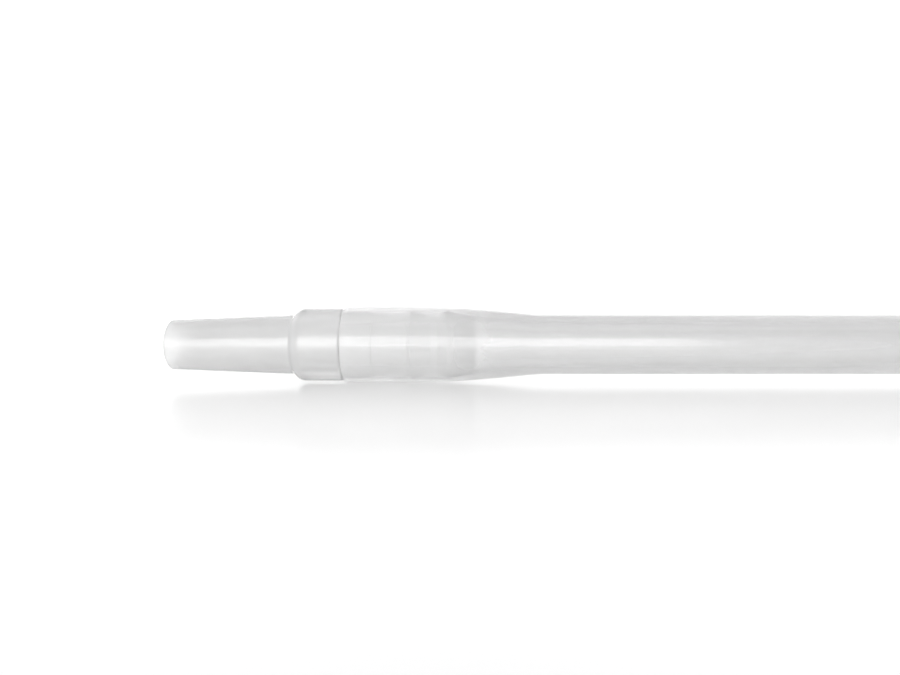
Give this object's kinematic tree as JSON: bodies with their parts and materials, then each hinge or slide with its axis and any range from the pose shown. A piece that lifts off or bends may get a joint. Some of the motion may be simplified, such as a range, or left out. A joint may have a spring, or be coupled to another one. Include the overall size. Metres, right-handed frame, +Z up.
{
  "type": "saliva ejector tip",
  "caption": "Straight dental saliva ejector tip: clear flexible tube flared over a barbed, tapered valve adapter, with a slotted pull-off cap at the mouth end.",
  "frame": {"origin": "on the axis at the thick end of the nozzle, where the suction valve's socket holds the tip", "axes": "+X along the tube's axis from the suction nozzle towards the mouth end, +Z up, +Y across"},
  "size_m": [0.15, 0.0084, 0.0084],
  "materials": {
    "adapter_plastic": "translucent natural polypropylene, moulded, semi-gloss",
    "tube_vinyl": "clear, slightly milky flexible vinyl, extruded, smooth gloss",
    "cap_plastic": "translucent soft polyethylene, moulded, satin"
  },
  "bodies": {
    "tube": {"suction_tube": "tube_vinyl", "taper_adapter": "adapter_plastic"},
    "cap": {"tip_cap": "cap_plastic"}
  },
  "joints": [
    {"name": "cap_pull", "type": "slide", "parent": "tube", "child": "cap", "axis": [1, 0, 0], "range_m": [0, 0.012]}
  ]
}
